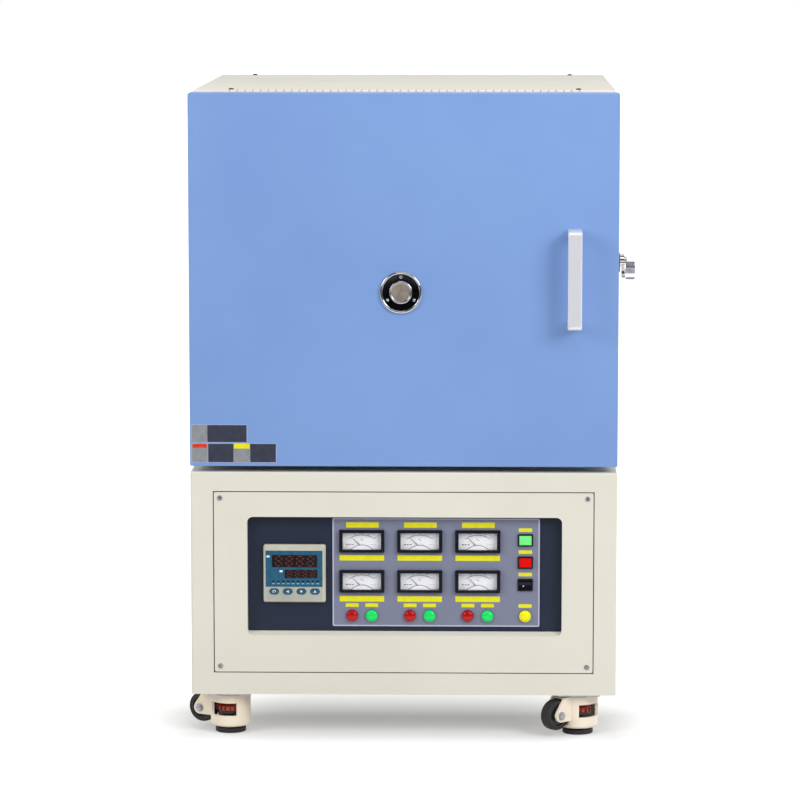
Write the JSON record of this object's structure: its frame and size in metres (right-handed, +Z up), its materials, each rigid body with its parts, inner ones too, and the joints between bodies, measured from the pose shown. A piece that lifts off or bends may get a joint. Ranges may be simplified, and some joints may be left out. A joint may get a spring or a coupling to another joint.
{
  "type": "muffle furnace",
  "caption": "Floor-standing box muffle furnace: side-hinged insulated door with viewing port over a control cabinet with meters, on levelling casters.",
  "frame": {"origin": "on the floor under the middle of the furnace's bounding box", "axes": "+Z up, the door faces -Y, +X to the user's right"},
  "size_m": [0.6896, 0.77, 0.9892],
  "materials": {
    "casing_paint": "satin powder coat",
    "cover_paint": "satin powder coat",
    "door_paint": "satin powder coat",
    "fascia_paint": "matt screen print",
    "plate_paint": "matt screen print",
    "screw_steel": "dull plated",
    "fibre_board": "matt fibre",
    "silicon_carbide": "matt",
    "element_wire": "oxidised",
    "alumina": "matt",
    "transformer_core": "varnished",
    "bright_steel": "polished",
    "bracket_steel": "plated",
    "handle_aluminium": "satin anodised",
    "port_window": "frosted",
    "controller_plastic": "matt",
    "display_window": "gloss",
    "meter_plastic": "gloss",
    "dial_card": "matt",
    "meter_glass": "clear",
    "needle_paint": "matt",
    "lamp_bezel_plastic": "gloss",
    "red_lens": "gloss",
    "green_lens": "gloss",
    "yellow_lens": "gloss",
    "switch_plastic": "matt",
    "green_cap": "gloss",
    "red_cap": "gloss",
    "rocker_plastic": "gloss",
    "key_plastic": "matt",
    "caster_casting": "painted casting",
    "wheel_rubber": "matt",
    "foot_rubber": "matt",
    "gland_nylon": "matt"
  },
  "bodies": {
    "furnace_body": {"furnace_casing": "casing_paint", "top_cover": "cover_paint", "panel_screws": "screw_steel", "chamber_lining": "fibre_board", "hearth_plate": "silicon_carbide", "heating_elements": "element_wire", "thermocouple": "alumina", "cabinet_shell": "casing_paint", "cabinet_rear_panel": "casing_paint", "control_panel": "casing_paint", "fascia_panel": "fascia_paint", "meter_plate": "plate_paint", "controller_case": "controller_plastic", "controller_display": "display_window", "meter_cases": "meter_plastic", "meter_dials": "dial_card", "meter_windows": "meter_glass", "lamp_bezels": "lamp_bezel_plastic", "red_lamp_lenses": "red_lens", "green_lamp_lenses": "green_lens", "yellow_lamp_lens": "yellow_lens", "switch_housings": "switch_plastic", "power_transformer": "transformer_core", "caster_plates": "bracket_steel", "hinge_brackets": "bracket_steel", "latch_base": "bright_steel", "cable_gland": "gland_nylon"},
    "door": {"door_skin": "door_paint", "door_insulation": "fibre_board", "door_hinge_leaves": "bracket_steel", "door_handle": "handle_aluminium", "viewport_bezel": "bright_steel", "viewport_glass": "port_window", "latch_strike": "bright_steel"},
    "latch": {"latch_lever": "bright_steel"},
    "start_button": {"start_button": "green_cap"},
    "stop_button": {"stop_button": "red_cap"},
    "power_rocker": {"power_rocker": "rocker_plastic"},
    "mode_key": {"mode_key": "key_plastic"},
    "shift_key": {"shift_key": "key_plastic"},
    "down_key": {"down_key": "key_plastic"},
    "up_key": {"up_key": "key_plastic"},
    "needle_1": {"meter_needle_1": "needle_paint"},
    "needle_2": {"meter_needle_2": "needle_paint"},
    "needle_3": {"meter_needle_3": "needle_paint"},
    "needle_4": {"meter_needle_4": "needle_paint"},
    "needle_5": {"meter_needle_5": "needle_paint"},
    "needle_6": {"meter_needle_6": "needle_paint"},
    "caster_front_left": {"caster_fork_front_left": "caster_casting"},
    "wheel_front_left": {"caster_wheel_front_left": "wheel_rubber"},
    "foot_front_left": {"levelling_foot_front_left": "foot_rubber"},
    "caster_front_right": {"caster_fork_front_right": "caster_casting"},
    "wheel_front_right": {"caster_wheel_front_right": "wheel_rubber"},
    "foot_front_right": {"levelling_foot_front_right": "foot_rubber"},
    "caster_rear_left": {"caster_fork_rear_left": "caster_casting"},
    "wheel_rear_left": {"caster_wheel_rear_left": "wheel_rubber"},
    "foot_rear_left": {"levelling_foot_rear_left": "foot_rubber"},
    "caster_rear_right": {"caster_fork_rear_right": "caster_casting"},
    "wheel_rear_right": {"caster_wheel_rear_right": "wheel_rubber"},
    "foot_rear_right": {"levelling_foot_rear_right": "foot_rubber"}
  },
  "joints": [
    {"name": "door_hinge", "type": "hinge", "parent": "furnace_body", "child": "door", "pos_m": [-0.318, -0.3, 0.702], "axis": [0, 0, -1], "range_deg": [0, 100]},
    {"name": "latch_turn", "type": "hinge", "parent": "furnace_body", "child": "latch", "pos_m": [0.3328, -0.278, 0.728], "axis": [-1, 0, 0], "range_deg": [0, 30]},
    {"name": "start_button_press", "type": "slide", "parent": "furnace_body", "child": "start_button", "axis": [0, 1, 0], "range_m": [0, 0.003], "stiffness_N_per_m": 400, "springref_m": -0.002},
    {"name": "stop_button_press", "type": "slide", "parent": "furnace_body", "child": "stop_button", "axis": [0, 1, 0], "range_m": [0, 0.003], "stiffness_N_per_m": 400, "springref_m": -0.002},
    {"name": "power_rocker_tilt", "type": "hinge", "parent": "furnace_body", "child": "power_rocker", "pos_m": [0.1858, -0.3375, 0.2355], "axis": [-1, 0, 0], "range_deg": [0, 18]},
    {"name": "mode_key_press", "type": "slide", "parent": "furnace_body", "child": "mode_key", "axis": [0, 1, 0], "range_m": [0, 0.0006], "stiffness_N_per_m": 800, "springref_m": -0.0008},
    {"name": "shift_key_press", "type": "slide", "parent": "furnace_body", "child": "shift_key", "axis": [0, 1, 0], "range_m": [0, 0.0006], "stiffness_N_per_m": 800, "springref_m": -0.0008},
    {"name": "down_key_press", "type": "slide", "parent": "furnace_body", "child": "down_key", "axis": [0, 1, 0], "range_m": [0, 0.0006], "stiffness_N_per_m": 800, "springref_m": -0.0008},
    {"name": "up_key_press", "type": "slide", "parent": "furnace_body", "child": "up_key", "axis": [0, 1, 0], "range_m": [0, 0.0006], "stiffness_N_per_m": 800, "springref_m": -0.0008},
    {"name": "needle_1_swing", "type": "hinge", "parent": "furnace_body", "child": "needle_1", "pos_m": [-0.0638, -0.3372, 0.2928], "axis": [0, 1, 0], "range_deg": [0, 90], "stiffness_Nm_per_rad": 0.00002, "springref_deg": -20.05},
    {"name": "needle_2_swing", "type": "hinge", "parent": "furnace_body", "child": "needle_2", "pos_m": [0.0247, -0.3372, 0.2928], "axis": [0, 1, 0], "range_deg": [0, 90], "stiffness_Nm_per_rad": 0.00002, "springref_deg": -20.05},
    {"name": "needle_3_swing", "type": "hinge", "parent": "furnace_body", "child": "needle_3", "pos_m": [0.1132, -0.3372, 0.2928], "axis": [0, 1, 0], "range_deg": [0, 90], "stiffness_Nm_per_rad": 0.00002, "springref_deg": -20.05},
    {"name": "needle_4_swing", "type": "hinge", "parent": "furnace_body", "child": "needle_4", "pos_m": [-0.0638, -0.3372, 0.2308], "axis": [0, 1, 0], "range_deg": [0, 90], "stiffness_Nm_per_rad": 0.00002, "springref_deg": -20.05},
    {"name": "needle_5_swing", "type": "hinge", "parent": "furnace_body", "child": "needle_5", "pos_m": [0.0247, -0.3372, 0.2308], "axis": [0, 1, 0], "range_deg": [0, 90], "stiffness_Nm_per_rad": 0.00002, "springref_deg": -20.05},
    {"name": "needle_6_swing", "type": "hinge", "parent": "furnace_body", "child": "needle_6", "pos_m": [0.1132, -0.3372, 0.2308], "axis": [0, 1, 0], "range_deg": [0, 90], "stiffness_Nm_per_rad": 0.00002, "springref_deg": -20.05},
    {"name": "swivel_front_left", "type": "hinge", "parent": "furnace_body", "child": "caster_front_left", "pos_m": [-0.268, -0.305, 0.059], "axis": [0, 0, 1], "continuous": true},
    {"name": "roll_front_left", "type": "hinge", "parent": "caster_front_left", "child": "wheel_front_left", "pos_m": [-0.31038, -0.28247, 0.0335], "axis": [0.4695, 0.8829, 0], "continuous": true},
    {"name": "levelling_front_left", "type": "slide", "parent": "caster_front_left", "child": "foot_front_left", "axis": [0, 0, 1], "range_m": [0, 0.01]},
    {"name": "swivel_front_right", "type": "hinge", "parent": "furnace_body", "child": "caster_front_right", "pos_m": [0.268, -0.305, 0.059], "axis": [0, 0, 1], "continuous": true},
    {"name": "roll_front_right", "type": "hinge", "parent": "caster_front_right", "child": "wheel_front_right", "pos_m": [0.23233, -0.33712, 0.0335], "axis": [-0.6691, 0.7431, 0], "continuous": true},
    {"name": "levelling_front_right", "type": "slide", "parent": "caster_front_right", "child": "foot_front_right", "axis": [0, 0, 1], "range_m": [0, 0.01]},
    {"name": "swivel_rear_left", "type": "hinge", "parent": "furnace_body", "child": "caster_rear_left", "pos_m": [-0.268, 0.305, 0.059], "axis": [0, 0, 1], "continuous": true},
    {"name": "roll_rear_left", "type": "hinge", "parent": "caster_rear_left", "child": "wheel_rear_left", "pos_m": [-0.3139, 0.31903, 0.0335], "axis": [0.2924, 0.9563, 0], "continuous": true},
    {"name": "levelling_rear_left", "type": "slide", "parent": "caster_rear_left", "child": "foot_rear_left", "axis": [0, 0, 1], "range_m": [0, 0.01]},
    {"name": "swivel_rear_right", "type": "hinge", "parent": "furnace_body", "child": "caster_rear_right", "pos_m": [0.268, 0.305, 0.059], "axis": [0, 0, 1], "continuous": true},
    {"name": "roll_rear_right", "type": "hinge", "parent": "caster_rear_right", "child": "wheel_rear_right", "pos_m": [0.31185, 0.32452, 0.0335], "axis": [0.4067, -0.9135, 0], "continuous": true},
    {"name": "levelling_rear_right", "type": "slide", "parent": "caster_rear_right", "child": "foot_rear_right", "axis": [0, 0, 1], "range_m": [0, 0.01]}
  ]
}
